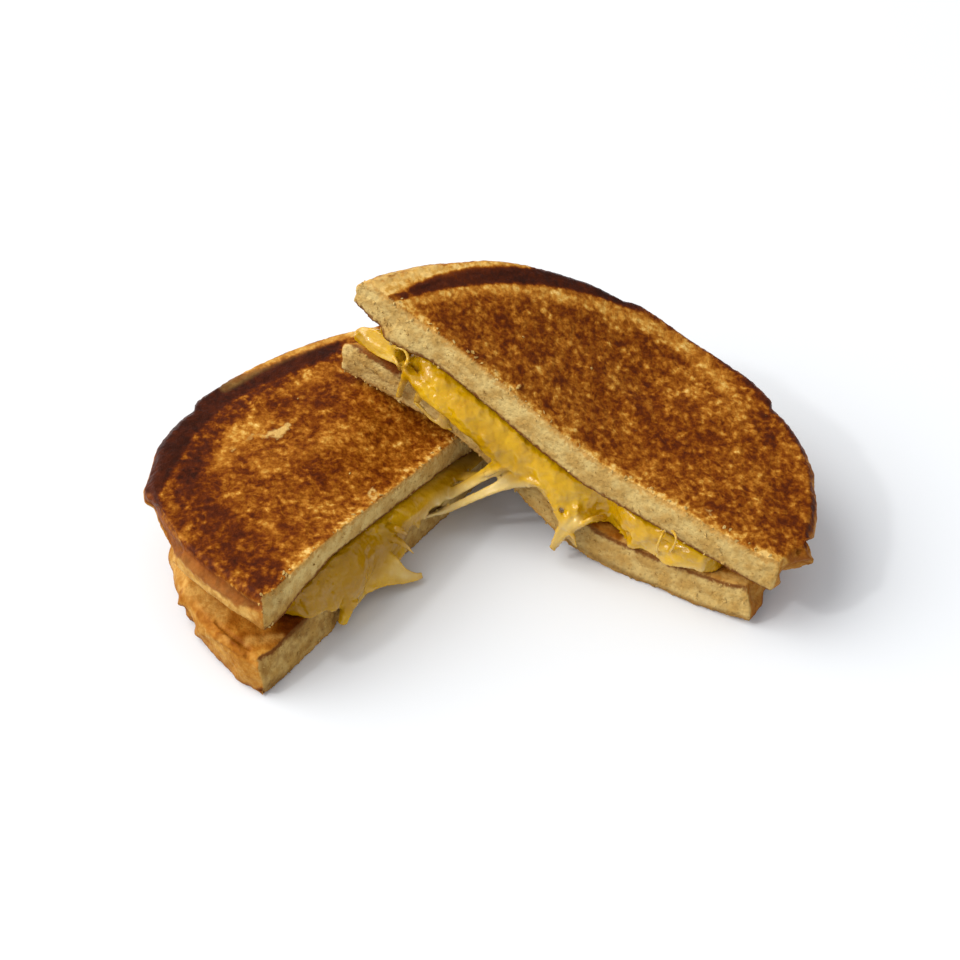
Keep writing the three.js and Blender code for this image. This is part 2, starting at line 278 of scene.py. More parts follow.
board_material, bench = material_with_bench("white_board")
place = bench.node("ShaderNodeTexCoord", {}, {}, "Object")
grain = bench.noise(place, 60, 2)
tone = bench.blend(grain, (0.705, 0.72, 0.735, 1), (0.715, 0.73, 0.745, 1))
finish_shader(bench, {"Base Color": tone, "Roughness": 0.8, "Specular IOR Level": 0.1})
corners = [(-3, -3, 0), (3, -3, 0), (3, 3, 0), (-3, 3, 0)]
board = object_of("board", corners, [], [(0, 1, 2, 3)])
board.data.materials.append(board_material)
board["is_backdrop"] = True

# %% [markdown]
# ## Where things are on a half
# Each half is measured from the front corner of its cut: `along` the cut, `inward` into the
# bread, and up. The mesh of each slice is remade with small even faces, so that it can carry
# relief, and every vertex learns where it is: on the cut crumb, on the pan-toasted face, on the
# face that touches the cheese, or on the crust.

# %% Frames of the two halves
HALVES = {}
for half, degrees, side, corner in (
        ("left", 54, 1, (-52.638, -53.390)),
        ("right", 150, -1, (66.062, -31.090))):
    along = np.array([math.cos(math.radians(degrees)), math.sin(math.radians(degrees))])
    inward = np.array([-along[1], along[0]]) * side
    HALVES[half] = {"corner": np.array(corner), "along": along, "inward": inward}


def half_coordinates(half, points):
    """Distances along the cut and inward from it, in millimetres."""
    plan = points[:, :2] - HALVES[half]["corner"]
    return plan @ HALVES[half]["along"], plan @ HALVES[half]["inward"]


def in_plan(half, along, out):
    """A place in plan, in millimetres, given along a cut and out of its face."""
    sides = HALVES[half]
    return sides["corner"] + sides["along"] * along - sides["inward"] * out


def on_cut(half, x, y, out):
    """The point seen at a place of the view that stands `out` mm in front of a cut face."""
    normal = -Vector((*HALVES[half]["inward"], 0))
    origin = Vector((*in_plan(half, 0, out), 0)) * MM
    ray = ray_through(x, y)
    return EYE + ray * ((origin - EYE).dot(normal) / ray.dot(normal))


# %% Remake a solid's skin with small even faces
def settle(obj):
    """Applies the modifiers by swapping in the evaluated mesh."""
    bpy.context.view_layer.update()
    graph = bpy.context.evaluated_depsgraph_get()
    mesh = bpy.data.meshes.new_from_object(obj.evaluated_get(graph), depsgraph=graph)
    obj.modifiers.clear()
    old = obj.data
    obj.data = mesh
    bpy.data.meshes.remove(old)
    return obj


def modify(obj, kind, **settings):
    """Adds one modifier with its settings and applies it."""
    modifier = obj.modifiers.new(kind.lower(), kind)
    for key, value in settings.items():
        setattr(modifier, key, value)
    return settle(obj)


def merged_copy(node, name):
    """A copy of a node's mesh, with the points that coincide made one."""
    return modify(object_from(name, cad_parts[node].data.copy()), "WELD", merge_threshold=1e-6)


def remake(obj, voxel_mm):
    return modify(obj, "REMESH", mode="VOXEL", voxel_size=voxel_mm * MM, use_smooth_shade=True)


def relax(obj, times, **settings):
    return modify(obj, "SMOOTH", iterations=times, **settings)


def read(items, field, width=3, kind=float):
    """One field of many items, as rows of numbers."""
    flat = np.zeros(len(items) * width, kind)
    items.foreach_get(field, flat)
    return flat.reshape(-1, width)


def points_of(mesh):
    """The places of the vertices, in millimetres."""
    return read(mesh.vertices, "co") / MM


def normals_of(mesh):
    return read(mesh.vertex_normals, "vector")


def store(mesh, name, values):
    mark = mesh.attributes.get(name) or mesh.attributes.new(name, "FLOAT", "POINT")
    mark.data.foreach_set("value", np.ascontiguousarray(values, dtype=np.float32))


def step(values, low, high):
    share = np.clip((values - low) / (high - low), 0, 1)
    return share * share * (3 - 2 * share)


# %% Tell every vertex where it is
def nearest_distance(points, targets):
    """Distance from each point to the nearest target, in the points' own units."""
    tree = kdtree.KDTree(len(targets))
    for index, target in enumerate(targets):
        tree.insert(target, index)
    tree.balance()
    return np.array([tree.find(point)[2] for point in points])


def skin_of(obj):
    """The surface of an object, for rays to hit."""
    return BVHTree.FromObject(obj, bpy.context.evaluated_depsgraph_get())


def crust_distance(along, inward):
    """How far each vertex is from the slice's outline in plan, leaving out the cut."""
    pairs = [Vector(pair) for pair in np.column_stack([along, inward])]
    hull = [pairs[index] for index in geometry.convex_hull_2d(pairs)]
    outline = []
    for start, end in zip(hull, hull[1:] + hull[:1]):
        count = max(1, int((end - start).length))
        steps = [start.lerp(end, number / count) for number in range(count)]
        outline += [(p.x, p.y, 0.0) for p in steps if p.y > 2.0]
    flat = np.column_stack([along, inward, np.zeros(len(along))])
    return nearest_distance(flat, outline)


# How far a normal has to lean, toward the cut or up and down, for its vertex to lie there.
CUT_LEAN = (0.45, 0.75)
FACE_LEAN = (0.40, 0.72)


def learn_zones(slice_object, half, pan_side):
    """Stores masks and distances; pan_side is 1 where the toasted face looks up, else -1."""
    mesh = slice_object.data
    points = points_of(mesh)
    normals = normals_of(mesh)
    along, inward = half_coordinates(half, points)
    outward = -(normals[:, :2] @ HALVES[half]["inward"])
    up = normals[:, 2] * pan_side
    crumb = step(outward, *CUT_LEAN) * step(inward, 4.5, 3.0)
    uncut = crumb < 0.1
    store(mesh, "crumb", crumb)
    store(mesh, "pan", step(up, *FACE_LEAN) * (1 - crumb))
    store(mesh, "inner", step(-up, *FACE_LEAN) * (1 - crumb))
    store(mesh, "rim", crust_distance(along, inward))
    store(mesh, "off_pan", nearest_distance(points, points[(up > 0.8) & uncut]))
    store(mesh, "off_inner", nearest_distance(points, points[(up < -0.8) & uncut]))
    store(mesh, "from_cut", inward)
    return points


SLICE_VOXEL = 0.5
SLICES = {
    "left_bottom": ("left", -1),
    "left_top": ("left", 1),
    "right_bottom": ("right", -1),
    "right_top": ("right", 1),
}
breads = {}
places = {}
for name, (half, pan_side) in SLICES.items():
    slice_object = remake(merged_copy(name + "_bread", name + "_slice"), SLICE_VOXEL)
    places[name] = learn_zones(slice_object, half, pan_side)
    breads[name] = slice_object
    print(name, len(slice_object.data.polygons), "faces")

# %% [markdown]
# ## Easing the outlines
# The solids have the main outline of each slice, and a real slice has small nubs and notches in
# it. They are laid in the view of the camera: each mark is a path of places with a half width
# in the view's pixels, and the vertices under it move out of the slice, or into it.

# %% Find places in the view
def places_in_view(points):
    """Where points, in millimetres, stand in the square view."""
    ray = points * MM - np.array(EYE)
    depth = ray @ np.array(FORWARD)
    x = VIEW_SIDE / 2 + FOCAL_PIXELS * ray[:, 0] / depth
    y = VIEW_SIDE / 2 - FOCAL_PIXELS * (ray @ np.array(UPWARD)) / depth
    return np.column_stack([x, y])


def looks_at_eye(mesh, points):
    toward = np.array(EYE) / MM - points
    toward /= np.linalg.norm(toward, axis=1)[:, None]
    return step((normals_of(mesh) * toward).sum(1), -0.05, 0.12)


def mark_along(view, path, softness):
    """1 on a path in the view, falling to 0 past each stop's half width."""
    mask = np.zeros(len(view))
    stops = path if len(path) > 1 else path * 2
    for (ax, ay, wide_a), (bx, by, wide_b) in zip(stops, stops[1:]):
        start = np.array([ax, ay])
        run = np.array([bx - ax, by - ay])
        share = np.clip(((view - start) @ run) / max(run @ run, 1e-9), 0, 1)
        gap = np.linalg.norm(view - start - share[:, None] * run, axis=1)
        width = wide_a + (wide_b - wide_a) * share
        mask = np.maximum(mask, 1 - step(gap, width - softness / 2, width + softness / 2))
    return mask


def marks_of(view, marks):
    total = np.zeros(len(view))
    for path, softness, amount in marks:
        total += amount * mark_along(view, path, softness)
    return total


def rows(text):
    """A table written as rows parted by commas, of words and numbers parted by spaces."""
    table = [row.split() for row in text.split(",")]
    return [[float(word) if word[-1].isdigit() else word for word in row] for row in table]


def read_marks(text):
    """Blocks under a heading, of marks 'softness amount: x y width, x y width' parted by ';'."""
    table = {}
    for block in text.strip().split("\n\n"):
        heading, marks = block.split("\n", 1)
        parts = [mark.split(":") for mark in marks.split(";")]
        table[heading] = [(rows(path), *rows(head)[0]) for head, path in parts]
    return table


PIXEL = STANDOFF / MM / FOCAL_PIXELS


def drag(points, half, drags, deep=-0.5):
    """Moves what shows near a place of the view by pixels: x, y, right, down, radius."""
    moved = points.copy()
    for x, y, right, down, radius in rows(drags):
        gap = np.linalg.norm(places_in_view(moved) - np.array([x, y]), axis=1)
        inward = half_coordinates(half, moved)[1]
        share = np.exp(-((gap / radius) ** 2)) * (1 - step(inward, deep, deep + 3.5)) * (inward > -12)
        shift = np.array((right, 0.0, 0.0)) - np.array(UPWARD) * down
        moved += share[:, None] * shift * PIXEL
    return moved


def move_points(obj, points):
    obj.data.vertices.foreach_set("co", (points * MM).ravel())
    obj.data.update()


# %% Ease the outlines
GROW = read_marks("""
left_top
14 1: 150 478 12, 160 445 12, 178 412 12;
16 2: 205 398 12, 240 378 16, 300 352 18, 375 330 18;
10 0.8: 147 495 8;
10 -2.1: 152 512 6, 158 530 10, 168 548 10

left_bottom
10 0.8: 172 562 10, 174 585 8;
7 1.6: 171 600 2.5;
9 -2.4: 178 616 8, 186 628 6;
12 -0.9: 205 648 12, 225 668 10;
10 1: 262 694 6

right_top
8 0.6: 372 320 6;
14 1.5: 640 306 12, 690 335 12, 735 368 12, 765 396 10;
12 1: 780 420 10, 798 450 10, 806 480 10, 812 515 8, 810 535 6;
9 -2.2: 815 545 7, 820 558 5;
9 -2.6: 808 572 9, 792 577 9

right_bottom
16 1: 346 352 12;
10 -1.8: 764 592 9
""")
CUT_GROW = read_marks("""
left_bottom
14 0.9: 262 690 12, 300 665 12, 335 636 10

right_bottom
10 0.7: 520 505 8, 560 535 8, 640 578 8, 700 603 8, 748 620 6
""")
# The top slice of the left half thins toward its cut, and the cheese rises to meet it.
THINNED = """305 594 0 -6 18, 328 574 0 -9 18, 350 558 0 -10 18, 372 541 0 -10 18, 394 521 0 -10 18,
    416 503 0 -10 18, 438 486 0 -8 18, 458 470 0 -5 18"""
SLICE_DRAGS = {
    "left_top": THINNED,
    "right_top": """360 297 -1 -6 11, 368 314 3 2 9, 402 345 -6 5 20, 388 336 -4 2 9, 354 294 3 1 5,
        808 543 -6 1 7""",
    "right_bottom": "345 349 -4 -6 10, 348 369 -5 0 9, 763 594 -6 0 12",
    "left_bottom": "262 697 0 -3 6",
}
for name, obj in breads.items():
    points = places[name]
    view = places_in_view(points)
    half = SLICES[name][0]
    rim = read(obj.data.attributes["rim"].data, "value", 1, np.float32)[:, 0]
    inward = half_coordinates(half, points)[1]
    away = points[:, :2] - points[:, :2].mean(0)
    away /= np.linalg.norm(away, axis=1)[:, None]
    growth = marks_of(view, GROW.get(name, [])) * (1 - step(rim, 2.0, 9.0))
    moved = points.copy()
    moved[:, :2] += away * growth[:, None]
    outward = marks_of(view, CUT_GROW.get(name, [])) * (1 - step(inward, 1.0, 6.0))
    moved[:, :2] -= HALVES[half]["inward"] * outward[:, None]
    move_points(obj, drag(moved, half, SLICE_DRAGS[name], 3.0))
    places[name] = points_of(relax(obj, 4).data)
print("outlines eased")

# %% [markdown]
# ## Where the pan was hottest
# Toast is never even: the rim of the slice presses hardest, so a burnt ring runs just inside
# the crust, and patches that lifted off the pan stay golden. A vertex that looks at the eye
# takes the marks that pass over it, and the unseen sides stay evenly toasted.

# %% Lay marks on the slices
MARKS = {
    "rust": read_marks("""
left_top
7 1: 149 497 4, 157 520 6, 167 538 7, 190 562 7, 215 582 7, 240 600 6, 258 608 4

right_bottom
3 0.8: 350 342 1, 366 353 1, 384 366 1, 402 380 1;
4 0.9: 386 361 3, 396 371 4

right_top
8 0.5: 786 560 5, 812 560 5
"""),
    "ledge": read_marks("""
left_bottom
12 0.8: 176 568 8, 195 592 9, 222 616 6;
8 0.6: 248 641 4, 280 637 3;
6 0.4: 225 640 6

left_top
10 0.95: 178 562 7, 200 584 9, 228 606 9, 250 616 5;
6 0.25: 372 326 5, 330 336 6, 270 360 6, 225 386 5

right_bottom
6 0.8: 716 582 6, 735 592 8;
5 1.1: 626 541 5, 650 551 5, 675 562 5, 702 574 6, 742 582 6
"""),
    "soaked": read_marks("""
left_top
12 0.85: 268 630 12, 345 570 12, 440 490 12, 478 453 10

left_bottom
20 0.62: 262 680 30, 340 620 26, 430 540 26

right_bottom
10 0.25: 350 360 6, 400 390 8;
20 0.3: 470 440 16, 560 530 24, 640 580 24, 750 610 30

right_top
30 0.3: 600 490 8, 680 540 10, 770 580 16
"""),
    "burnt": read_marks("""
left_top
11 1: 336 347 5, 315 356 7, 295 364 8, 270 373 9, 247 381 10, 222 394 12, 200 412 13, 181 432 13,
  167 455 12, 157 478 10, 151 497 8, 157 514 5;
24 0.5: 300 372 6, 270 386 8, 240 404 12, 214 427 14, 198 452 14, 186 480 12, 178 502 8;
8 0.6: 148 494 7, 153 508 6, 160 522 4;
10 0.45: 160 512 4, 175 538 4, 210 569 4, 242 596 3

right_top
4 0.9: 392 298 4, 405 296 4;
7 1: 414 291 5, 430 285 7, 453 279 8.5, 476 275 9, 513 275 8.5, 540 277 8, 567 281 7.5, 594 288 7.5,
  613 295 7, 635 304 6;
6 0.52: 635 304 6, 652 311 5, 681 329 4.5, 704 345 4.5, 726 362 4, 749 382 4, 768 402 4, 786 423 3,
  801 448 2.5, 810 477 2.5, 814 504 2.5, 811 527 3, 804 547 3;
16 0.4: 768 420 6, 770 444 6
"""),
    "dark": read_marks("""
left_top
26 0.36: 262 572 22, 236 548 20, 208 512 18, 195 478 16;
18 0.22: 190 452 10, 180 480 12, 182 512 12;
14 0.2: 200 545 12, 225 572 10;
14 0.16: 275 598 10, 250 585 10, 220 560 10;
20 0.15: 262 410 9, 300 396 10, 335 392 9, 350 405 8;
26 0.12: 300 480 14, 330 470 14;
20 0.1: 300 530 12, 290 552 12

left_bottom
7 0.35: 255 697 5, 300 668 3, 350 628 3, 430 540 2;
16 0.42: 292 622 16

right_top
34 0.14: 790 490 20, 780 530 22, 745 522 18;
30 0.08: 756 420 14, 770 460 14;
46 0.06: 480 320 20, 560 350 26, 640 400 26, 700 450 26;
20 0.1: 470 305 12, 500 312 12

right_bottom
6 0.35: 384 358 4, 400 372 6;
6 0.4: 520 506 2, 560 536 2, 600 560 2, 640 580 2, 700 605 2, 745 619 2
"""),
    "golden": read_marks("""
left_top
26 0.3: 222 455 13, 240 437 13, 268 420 8;
20 0.2: 262 468 8, 300 455 8, 335 440 8;
12 0.18: 365 352 12, 340 368 8, 305 382 6, 280 393 6;
12 0.3: 335 548 7, 380 520 6, 420 486 6, 452 455 5;
5 0.45: 172 503 4, 176 508 4;
10 0.26: 265 525 6, 276 533 5;
10 0.12: 240 510 6, 222 535 6;
4 0.45: 232 381 3, 262 365 4, 300 349 4, 340 336 4, 375 328 3

right_top
9 0.46: 372 298 10, 398 284 8, 436 271 7, 480 264 4, 530 264 4;
13 0.34: 375 296 14, 408 304 5, 430 297 5, 453 293 5, 499 289 5, 544 293 6, 590 303 6, 631 317 6,
  658 330 6, 685 347 7, 712 371 8, 728 389 7;
16 0.16: 728 392 8, 742 408 8;
10 0.3: 760 555 8, 780 563 8, 806 560 8;
14 0.42: 365 300 9, 385 318 10, 420 348 10, 470 388 9, 520 422 9, 570 454 9, 620 484 9, 670 513 10,
  720 543 10
"""),
    "cream": read_marks("""
left_top
6 0.8: 268 433 2, 278 434 4.5, 288 426 3;
5 0.45: 277 438 2.2, 254 434 2, 246 440 2;
3 0.6: 372 489 2, 377 494 2, 374 500 2, 369 495 2, 371 490 2;
9 0.5: 325 566 4, 345 548 5, 380 520 5, 420 488 5, 452 462 4;
8 0.3: 232 448 5;
4 0.5: 305 560 3, 312 566 3

right_top
8 0.55: 357 290 9, 375 282 9, 410 272 7, 440 266 4;
4 0.5: 704 509 1.5, 710 512 2.4, 711 519 1.2;
3 0.7: 518 387 2;
12 0.74: 368 304 11, 392 326 10, 440 366 9, 520 426 8, 620 488 8, 720 548 8, 760 566 6
"""),
}
for name, obj in breads.items():
    view = places_in_view(places[name])
    facing = looks_at_eye(obj.data, places[name])
    for kind, marks in MARKS.items():
        mask = np.zeros(len(view))
        for path, softness, strength in marks.get(name, []):
            mask = np.maximum(mask, strength * mark_along(view, path, softness))
        store(obj.data, kind, mask * facing)
print("marks laid on", ", ".join(breads))

# %% Raise the peeled flakes and press the shoulders round
RAISED = read_marks("""
left_bottom
1.6 0.7: 210 633 4, 222 638 5, 236 648 4.5, 244 655 2;
3 -0.9: 216 622 1.2, 232 636 1.2, 250 650 1;
8 -1: 262 697 6

left_top
4 0.3: 271 435 2, 279 434 4, 286 429 3;
11 -1.1: 148 502 2, 160 530 2, 180 550 2, 210 574 2, 245 602 2, 262 612 2

right_top
1.5 0.5: 515 388 1.5, 521 386 2;
5 -1.2: 800 553 2
""")
for name, obj in breads.items():
    lift = marks_of(places_in_view(places[name]), RAISED.get(name, []))
    lift = lift * looks_at_eye(obj.data, places[name])
    move_points(obj, places[name] + normals_of(obj.data) * lift[:, None])
print("flakes raised")

# %% [markdown]
# ## Relief of bread
# Pressed toast is not flat. The crumb on a cut is torn and full of small pores, and the toasted
# face is pebbled: the high grains touched the pan and browned. A Geometry Nodes tree moves every
# vertex along its normal by noise and by pits, with each size a named input.

# %% A tree that gives bread its relief
def geometry_tree(name, sizes):
    """An empty tree with a Geometry input and output, and named numbers."""
    tree = bpy.data.node_groups.new(name, "GeometryNodeTree")
    tree.interface.new_socket("Geometry", in_out="INPUT", socket_type="NodeSocketGeometry")
    for label, value in sizes.items():
        kind = "NodeSocketInt" if isinstance(value, int) else "NodeSocketFloat"
        tree.interface.new_socket(label, in_out="INPUT", socket_type=kind).default_value = value
    tree.interface.new_socket("Geometry", in_out="OUTPUT", socket_type="NodeSocketGeometry")
    bench = Bench(tree)
    entry = tree.nodes.new("NodeGroupInput")
    return tree, bench, {s.name: Wire(bench, s) for s in entry.outputs if s.name}


def end_tree(bench, geometry_wire, material):
    """Realize Instances and Set Material, then the output."""
    real = bench.node("GeometryNodeRealizeInstances", {}, {0: geometry_wire})
    dressed = bench.node("GeometryNodeSetMaterial", {}, {0: real, "Material": material})
    bench.node("NodeGroupOutput", {}, {0: dressed})


def wear(obj, tree, sizes):
    """Puts the tree on an object, sets its inputs by identifier, and bakes the result."""
    modifier = obj.modifiers.new(tree.name, "NODES")
    modifier.node_group = tree
    labels = {item.name: item.identifier for item in tree.interface.items_tree}
    for label, value in sizes.items():
        modifier[labels[label]] = value
    return settle(obj)


def keep_one(obj, material):
    """Leaves one material on a mesh, in place of the slots that its parts brought along."""
    obj.data.materials.clear()
    obj.data.materials.append(material)


def named_number(bench, name):
    return bench.node("GeometryNodeInputNamedAttribute", {"data_type": "FLOAT"}, {"Name": name})


# %% [markdown]
# ## Toasted bread
# One finish serves all four slices. Marks on the vertices say how toasted each place is, and
# noise of several sizes breaks it up, from palm-wide patches to millimetre grains.

# %% Mix the toasted bread finish
PEBBLE_SIZE = 0.95
TOAST_TOP = 1.5
TOAST_STOPS = """0 218 178 104, 0.14 200 152 72, 0.28 180 124 46, 0.42 160 99 28,
    0.54 141 81 16, 0.65 125 67 8, 0.78 110 52 3, 0.92 90 37 2, 1.1 74 28 5, 1.35 60 21 4,
    1.5 46 16 4"""
CRUST_STOPS = """0 204 166 100, 0.3 182 134 64, 0.5 162 108 38, 0.7 140 82 20,
    0.9 110 56 10, 1.1 76 32 9, 1.35 50 20 10, 1.5 40 16 9"""


def toast_ramp(bench, value, stops):
    """A ramp whose stops run to more than 1, so that burnt bread has room."""
    scaled = [(place / TOAST_TOP, paint(*colour)) for place, *colour in rows(stops)]
    return bench.ramp(value / TOAST_TOP, scaled)


def uneven(value, **amounts):
    """A value swung to either side by the noises named, each by its amount."""
    for name, amount in amounts.items():
        value = value + (noises[name] - 0.5) * amount
    return value


bread_material, bench = material_with_bench("toasted_bread")
place = bench.node("ShaderNodeTexCoord", {}, {}, "Object")
coarse = bench.noise(place, 12.0)
middle = bench.noise(place, 4.4, 2, 0.55)
small = bench.noise(place, 2.1, 2, 0.5, 0.3)
fine = bench.noise(place, PEBBLE_SIZE)
tiny = bench.noise(place, 0.5)
noises = {"coarse": coarse, "middle": middle, "small": small, "fine": fine, "tiny": tiny}
pan = bench.mark("pan")
crumb = bench.mark("crumb")
off_pan = bench.mark("off_pan")
dark = bench.mark("dark")
golden = bench.mark("golden")
soaked = bench.mark("soaked")
burnt = uneven(bench.mark("burnt"), small=0.5, middle=0.4, fine=0.3).rise(0.10, 0.95)

nudged = bench.node("ShaderNodeVectorMath", {"operation": "MULTIPLY_ADD"}, {
    0: bench.node("ShaderNodeTexNoise", {}, {"Vector": place, "Scale": 700.0}, "Color"),
    1: (0.0013, 0.0013, 0.0013),
    2: place,
})
bubbles = bench.cells(nudged, 2.1).rise(0.12, 0.66)
heat = uneven(0.66 + dark - golden, coarse=0.60)
heat = heat - (1.0 - uneven(bench.mark("from_cut"), small=4.0, middle=3.0).rise(0.2, 4.6)) * 0.34
worm = bench.noise(place, 4.2, 1.5, 0.55, 0.9)
vein = bench.node("ShaderNodeMath", {"operation": "ABSOLUTE"}, {0: worm - 0.5}).rise(0.0, 0.10)
speckle = uneven((bubbles - 0.6) * 0.28, middle=0.70, small=0.78) + (vein - 0.85) * 0.16
speckle = uneven(speckle, fine=0.62, tiny=0.30)
pan_heat = heat + speckle * (1.0 - burnt * 0.55 - golden * 0.9) + burnt * 0.72
pan_tone = toast_ramp(bench, pan_heat, TOAST_STOPS)
cream_spot = uneven(bench.mark("cream"), fine=0.7, small=0.8).rise(0.26, 0.70)
pan_tone = bench.blend(cream_spot * 0.85, pan_tone, paint(206, 168, 96))

# The crumb is painted darker in its pores and holes below: painted shade inside them.
pores = bench.cells(place, 0.95, smooth=0.25)
holes = bench.cells(place, 2.3)
oily_tone = bench.blend(small.rise(0.3, 0.7), paint(172, 130, 60), paint(134, 90, 32))
scorch = 1.0 - uneven(off_pan, fine=4.0, middle=3.0).rise(0.2, 2.0)
seal = 1.0 - uneven(bench.mark("off_inner"), fine=1.8, small=1.2).rise(0.7, 2.0)
crumb_tone = bench.glazed(
    paint(204, 176, 112),
    (middle.rise(0.35, 0.65), paint(180, 144, 80)),
    ((soaked * (0.35 + small * 1.1)).held(), oily_tone),
    # painted shade inside the pores and holes
    ((1.0 - pores.rise(0.05, 0.32)) * 0.40, paint(128, 88, 38)),
    ((1.0 - holes.rise(0.06, 0.2)) * 0.45, paint(120, 80, 32)),
    (scorch * 0.75, paint(176, 126, 56)),
    (seal * 0.92, paint(104, 54, 16)),
    ((dark * (0.6 + fine * 1.6)).held(), paint(96, 60, 24)))

crust_heat = uneven(0.48, coarse=0.6, middle=0.6, small=0.4, fine=0.30, tiny=0.15) + dark
crust_heat = crust_heat + (1.0 - off_pan.rise(0.3, 4.5)) * 0.22 + burnt * 0.6
crust_tone = toast_ramp(bench, crust_heat, CRUST_STOPS)
crust_tone = bench.blend(cream_spot * 0.7, crust_tone, paint(206, 172, 104))

inner_tone = toast_ramp(bench, uneven(0.46, middle=0.6, small=0.6) + dark * 1.1, TOAST_STOPS)
side_tone = bench.blend(small.rise(0.3, 0.7), paint(208, 164, 88), paint(176, 124, 52))
side_share = (bench.mark("ledge") * (0.55 + middle * 0.9)).held()
rust_tone = bench.blend(middle.rise(0.35, 0.65), paint(100, 44, 8), paint(138, 76, 28))
rust_share = uneven(bench.mark("rust"), small=0.6, middle=0.5).rise(0.15, 0.95)
tone = bench.glazed(
    crust_tone,
    (pan, pan_tone),
    (bench.mark("inner"), inner_tone),
    (side_share * 0.85, side_tone),
    (crumb, crumb_tone),
    (rust_share * 0.85, rust_tone))
rough = uneven(0.58, fine=0.3) + crumb * 0.3 - burnt * (1.0 - crumb) * 0.20
height = small * 0.30 + fine * 0.34 + tiny * 0.18 - bubbles * pan * 0.12 + pores * crumb * 0.30
bump = bench.node("ShaderNodeBump", {}, {"Height": height, "Distance": 0.0009, "Strength": 0.7})
finish_shader(bench, {
    "Base Color": tone,
    "Roughness": rough,
    "Normal": bump,
    "Specular IOR Level": 0.04,
    "Coat Weight": burnt * (1.0 - crumb) * 0.04 + 0.02,
    "Coat Roughness": 0.22,
})
print("toasted bread mixed")

# %% Give the slices their relief
RELIEF = {
    "Swell": 0.55,
    "Swell Size": 14.0,
    "Pebble": 0.34,
    "Pebble Size": PEBBLE_SIZE * 1.6,
    "Tear": 0.36,
    "Tear Size": 2.2,
    "Pit": 0.32,
    "Pit Size": 1.6,
    "Ragged": 0.80,
    "Crumbs": 0.20,
    "Crumb Size": 0.40,
    "Seed": 4,
}
relief_tree, bench, size = geometry_tree("bread_relief", RELIEF)
where = bench.node("GeometryNodeInputPosition")
crumb = named_number(bench, "crumb")
pan = named_number(bench, "pan")


def noise_of(place, size_wire, detail=2.0, out=0):
    inputs = {"Vector": place, "Scale": 1000.0 / size_wire, "Detail": detail}
    return place.bench.node("ShaderNodeTexNoise", {}, inputs, out)


def swing(place, size_wire, amount, detail=2.0, middle=0.5):
    """Noise that swings as far as the amount to either side."""
    return (noise_of(place, size_wire, detail) - middle) * amount * 2.0


def scaled_vector(vector, scale):
    inputs = {0: vector, "Scale": scale}
    return vector.bench.node("ShaderNodeVectorMath", {"operation": "SCALE"}, inputs)


def pushed(skin, push):
    """The skin with every vertex moved along its normal, by millimetres."""
    facing = skin.bench.node("GeometryNodeInputNormal")
    inputs = {0: skin, "Offset": scaled_vector(facing, push * MM)}
    return skin.bench.node("GeometryNodeSetPosition", {}, inputs)


swell = swing(where, size["Swell Size"], size["Swell"])
pebble = swing(where, size["Pebble Size"], size["Pebble"], 3.0)
tear = swing(where, size["Tear Size"], size["Tear"], 3.0)
cell = bench.node("ShaderNodeTexVoronoi", {}, {"Vector": where, "Scale": 1000.0 / size["Pit Size"]})
pit = (1.0 - cell.rise(0.0, 0.45)) * size["Pit"]
edge = 1.0 - named_number(bench, "off_pan").rise(0.1, 1.8)
ragged = swing(where, size["Tear Size"] * 0.9, size["Ragged"], middle=0.55)
push = swell + pebble * (1.0 - crumb) + (tear - pit + ragged * edge) * crumb
moved = pushed(size["Geometry"], push)

# %% Scatter torn crumbs over the cut and its edge
margin = pan * (1.0 - named_number(bench, "from_cut").rise(0.5, 3.5))
density = (crumb * 0.35 + margin * 1.6 + pan * 0.004) * size["Crumbs"] * 1e6
spots = bench.node("GeometryNodeDistributePointsOnFaces", {}, {
    "Mesh": moved, "Density": density, "Seed": size["Seed"]})
ball = bench.node("GeometryNodeMeshIcoSphere", {}, {"Radius": 1.0, "Subdivisions": 2})
turn = bench.node("FunctionNodeRandomValue", {"data_type": "FLOAT_VECTOR"}, {
    "Max": (6.28, 6.28, 6.28), "Seed": 5})
squash = bench.node("FunctionNodeRandomValue", {"data_type": "FLOAT_VECTOR"}, {
    "Min": (0.3, 0.3, 0.2), "Max": (1.7, 1.4, 0.8), "Seed": 6})
grown = scaled_vector(squash, size["Crumb Size"] * MM)
bits = bench.node("GeometryNodeInstanceOnPoints", {}, {
    "Points": spots, "Instance": ball, "Rotation": turn, "Scale": grown})
bits = bench.node("GeometryNodeRealizeInstances", {}, {0: bits})
shake = noise_of(where, size["Crumb Size"] * 2.0, 1.0, "Color")
shake = bench.node("ShaderNodeVectorMath", {"operation": "SUBTRACT"}, {0: shake, 1: (0.5, 0.5, 0.5)})
shake = scaled_vector(shake, size["Crumb Size"] * 2.8 * MM)
bits = bench.node("GeometryNodeSetPosition", {}, {0: bits, "Offset": shake})
CRUMB_MARKS = {"crumb": 1.0, "pan": 0.0, "inner": 0.0, "off_pan": 3.0, "off_inner": 9.0, "rust": 0.0,
               "soaked": 0.2}
for label, value in CRUMB_MARKS.items():
    bits = bench.node("GeometryNodeStoreNamedAttribute", {"data_type": "FLOAT"}, {
        0: bits, "Name": label, "Value": value})
dressed = bench.node("GeometryNodeJoinGeometry", {}, {0: moved})
relief_tree.links.new(bits.socket, dressed.socket.node.inputs[0])
end_tree(bench, dressed, bread_material)

for name, obj in breads.items():
    wear(obj, relief_tree, RELIEF)
    keep_one(obj, bread_material)
    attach(obj, "root")
    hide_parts(name + "_bread")
print("relief worn by", len(breads), "slices")

# %% [markdown]
# ## Melted cheese
# The cheese is one soft body: a layer between the slices of each half, lips that swell out of
# the cuts, and strings pulled across the gap. Its solid is remade with fine faces and relaxed
# until the facets melt away, and thin places are marked by how soon a ray comes out behind.

